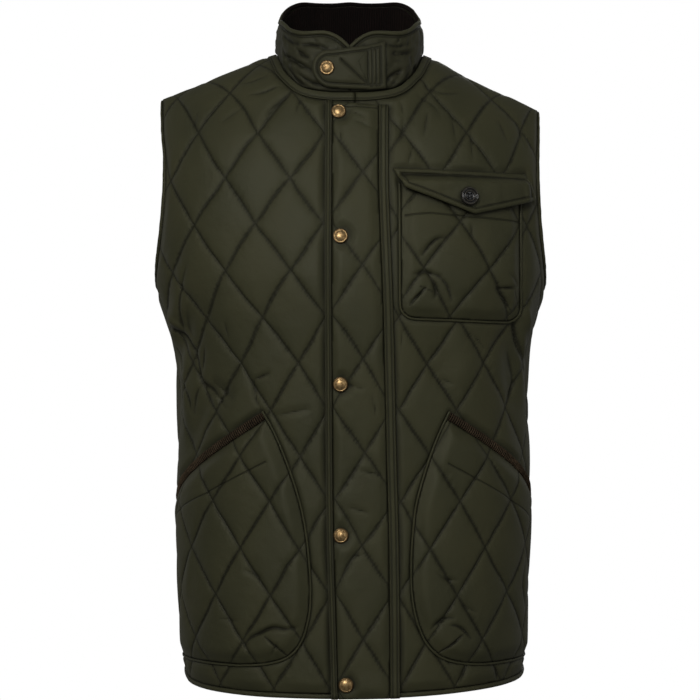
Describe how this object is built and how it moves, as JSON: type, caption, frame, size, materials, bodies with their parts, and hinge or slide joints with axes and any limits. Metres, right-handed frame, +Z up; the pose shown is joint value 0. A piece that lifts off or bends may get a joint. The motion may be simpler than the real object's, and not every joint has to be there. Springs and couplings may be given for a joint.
{
  "type": "quilted vest",
  "caption": "Men's diamond-quilted vest with stand collar and tab, press-stud placket, flapped chest pocket and corduroy-trimmed hand pockets, filled out as worn and hollow inside.",
  "frame": {"origin": "midway between the two points where the shoulder seams meet the collar, where the wearer's shoulders hold it", "axes": "+Z up from hem to collar, +Y towards the back, so the front faces -Y, and +X towards the wearer's left"},
  "size_m": [0.407, 0.2643, 0.7236],
  "materials": {
    "quilted_cloth": "satin",
    "corduroy": "matt",
    "brass": "antique",
    "button": "polished"
  },
  "bodies": {
    "root": {"front_right": "quilted_cloth", "front_left": "quilted_cloth", "back": "quilted_cloth", "armhole_binding_right": "quilted_cloth", "armhole_binding_left": "quilted_cloth", "hem_binding_right": "quilted_cloth", "hem_binding_left": "quilted_cloth", "hem_binding_back": "quilted_cloth", "neck_band": "quilted_cloth", "collar": "quilted_cloth", "collar_edge": "quilted_cloth", "collar_lining": "corduroy", "collar_tab": "quilted_cloth", "placket": "quilted_cloth", "placket_edge": "quilted_cloth", "placket_strip": "quilted_cloth", "hand_pocket_right": "quilted_cloth", "hand_pocket_right_piping": "quilted_cloth", "hand_pocket_right_trim": "corduroy", "hand_pocket_left": "quilted_cloth", "hand_pocket_left_piping": "quilted_cloth", "hand_pocket_left_trim": "corduroy", "chest_pocket": "quilted_cloth", "chest_pocket_piping": "quilted_cloth", "chest_flap": "quilted_cloth", "snap_1": "brass", "snap_2": "brass", "snap_3": "brass", "snap_4": "brass", "snap_5": "brass", "snap_collar": "brass", "chest_button": "button"}
  },
  "joints": []
}
